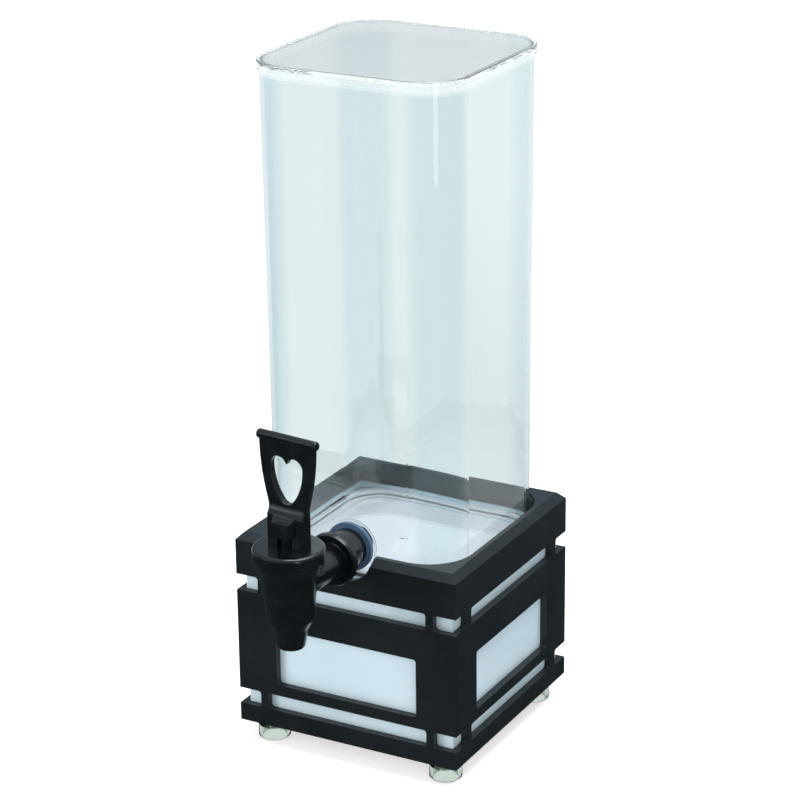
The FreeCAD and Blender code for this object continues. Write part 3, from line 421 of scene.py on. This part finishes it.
room_strength = 0.9
dim = (0.05, 0.07, 0.08)
pale = (0.97, 0.99, 1.0)
white = (1.0, 1.0, 1.0)
world = bpy.data.worlds.new("studio")
scene.world = world
world.use_nodes = True
tree = world.node_tree
tree.nodes.clear()
soft_room = room(tree, (0.18, 0.20, 0.21), (0.42, 0.46, 0.48), (0.90, 1.0, 1.05))
mirror_room = room(tree, dim, (0.08, 0.10, 0.13), (0.78, 0.98, 1.12))
seen = choose(tree, "Is Glossy Ray", soft_room, mirror_room)
seen = choose(tree, "Is Transmission Ray", seen, plain_light(tree, "Background", pale, 1.0))
seen = choose(tree, "Is Camera Ray", seen, plain_light(tree, "Background", white, 1.0))
tree.links.new(seen, tree.nodes.new("ShaderNodeOutputWorld").inputs["Surface"])
print("world nodes:", len(tree.nodes))

# %% [markdown]
# ## Floor
# The tower stands on a plain pale floor. The camera sees the light on the floor with a little glow
# added, so it reads as white except where the base shades it. The clear walls see the same pale
# room through it. In reflections the floor is dim in front of the tower, which keeps the black
# panels deep, and pale behind it, which keeps the clear rim's outline bright.

# %% Floor mesh
floor_half = 6.0
floor_level = size_before[0].z
corners = [(x * floor_half, y * floor_half, floor_level) for x, y in ((-1, -1), (1, -1), (1, 1), (-1, 1))]
floor_mesh = bpy.data.meshes.new("floor")
floor_mesh.from_pydata(corners, [], [(0, 1, 2, 3)])
floor = bpy.data.objects.new("floor", floor_mesh)
scene.collection.objects.link(floor)
print("floor height in mm:", round(floor_level * 1000, 1))

# %% Floor paint
floor_glow = 0.52
away_from_camera = (-0.48, 0.88)
fade_start = 0.3
fade_end = 0.9


def dim_to_pale(tree):
    """The floor as reflections see it, from dim in front of the tower to pale behind it."""
    place = object_axes(tree)
    sideways = arithmetic(tree, "MULTIPLY", place["X"], away_from_camera[0])
    straight_back = arithmetic(tree, "MULTIPLY", place["Y"], away_from_camera[1])
    backwards = arithmetic(tree, "ADD", straight_back, sideways)
    fade = tree.nodes.new("ShaderNodeMixShader")
    tree.links.new(stretch_of(tree, backwards, fade_start, fade_end), fade.inputs[0])
    tree.links.new(plain_light(tree, "Emission", dim, room_strength), fade.inputs[1])
    tree.links.new(plain_light(tree, "Emission", (0.90, 0.97, 1.0), room_strength), fade.inputs[2])
    return fade.outputs["Shader"]


floor_paint, tree, shader = new_material("floor_paint")
shader.inputs["Base Color"].default_value = (0.80, 0.81, 0.82, 1.0)
shader.inputs["Roughness"].default_value = 0.8
shader.inputs["Specular IOR Level"].default_value = 0.1
lifted = tree.nodes.new("ShaderNodeAddShader")
tree.links.new(shader.outputs["BSDF"], lifted.inputs[0])
tree.links.new(plain_light(tree, "Emission", (1.0, 0.93, 0.92), floor_glow), lifted.inputs[1])
seen = choose(tree, "Is Camera Ray", shader.outputs["BSDF"], lifted.outputs["Shader"])
seen = choose(tree, "Is Glossy Ray", seen, dim_to_pale(tree))
seen = choose(tree, "Is Transmission Ray", seen, plain_light(tree, "Emission", pale, 1.0))
tree.links.new(seen, tree.nodes["Material Output"].inputs["Surface"])
floor.data.materials.append(floor_paint)
print("floor paint nodes:", len(tree.nodes))

# %% [markdown]
# ## Lamps
# Soft lamps add shape: a large one overhead from the right, a broad fill from the left and a weak
# one from the right. The fill isn't seen in reflections, where it would lie over the clear walls as
# a white patch. A small strip beside it draws the thin highlights on the tap instead.

# %% Four soft lamps
def soft_lamp(name, place, target, width, height, power, colour=white, mirrored=True):
    data = bpy.data.lights.new(name, "AREA")
    data.shape = "RECTANGLE"
    data.size = width
    data.size_y = height
    data.energy = power
    data.color = colour
    lamp = bpy.data.objects.new(name, data)
    scene.collection.objects.link(lamp)
    lamp.location = place
    aim = Vector(target) - Vector(place)
    lamp.rotation_euler = aim.to_track_quat("-Z", "Y").to_euler()
    lamp.visible_camera = False
    lamp.visible_transmission = False
    lamp.visible_glossy = mirrored


tower_middle = (0.0, 0.0, 0.25)
tap_middle = (0.0, -0.18, 0.2)
soft_lamp("overhead", (0.35, 0.1, 1.7), tower_middle, 1.2, 1.2, 28.0, (0.94, 0.98, 1.0))
soft_lamp("left_fill", (-1.3, -1.5, 0.6), tap_middle, 0.9, 1.5, 22.0, (0.97, 0.99, 1.0), mirrored=False)
soft_lamp("left_strip", (-1.5, -1.6, 1.0), tap_middle, 0.12, 0.8, 1.6, (0.90, 0.96, 1.0))
soft_lamp("right_strip", (1.2, -1.0, 0.5), tap_middle, 0.3, 1.0, 2.5)

# %% [markdown]
# ## Camera
# The camera stands to the right, above the top of the tower, and looks down by about 20 degrees
# with a long lens, so upright edges stay almost parallel. Its axes are built from three angles:
# the turn about Z, the dip under the horizon and a slight roll.

# %% Place the camera
camera_place = Vector((1.00376, -1.83399, 1.03567))
turn = math.radians(28.735)
dip = math.radians(20.255)
roll = math.radians(-0.685)
forward = Vector((-math.sin(turn) * math.cos(dip), math.cos(turn) * math.cos(dip), -math.sin(dip)))
level_right = Vector((math.cos(turn), math.sin(turn), 0.0))
level_up = level_right.cross(forward)
right = level_right * math.cos(roll) + level_up * math.sin(roll)
up = level_up * math.cos(roll) - level_right * math.sin(roll)
camera_data = bpy.data.cameras.new("camera")
camera_data.sensor_width = 36.0
camera_data.lens = 124.38
camera = bpy.data.objects.new("camera", camera_data)
scene.collection.objects.link(camera)
camera.matrix_world = Matrix.Translation(camera_place) @ Matrix((right, up, -forward)).transposed().to_4x4()
scene.camera = camera
print("camera distance in m:", round(camera_place.length, 3))

# %% [markdown]
# ## How colours and long light paths are shown
# The Standard view shows a colour as it is written. Light that enters the clear rim bounces about
# in it many times before it leaves, and a path that is cut short turns black. So more bounces are
# allowed than usual.

# %% View and bounces
scene.view_settings.view_transform = "Standard"
scene.cycles.max_bounces = 24
scene.cycles.glossy_bounces = 16
scene.cycles.transmission_bounces = 20
print("bounces allowed:", scene.cycles.max_bounces)
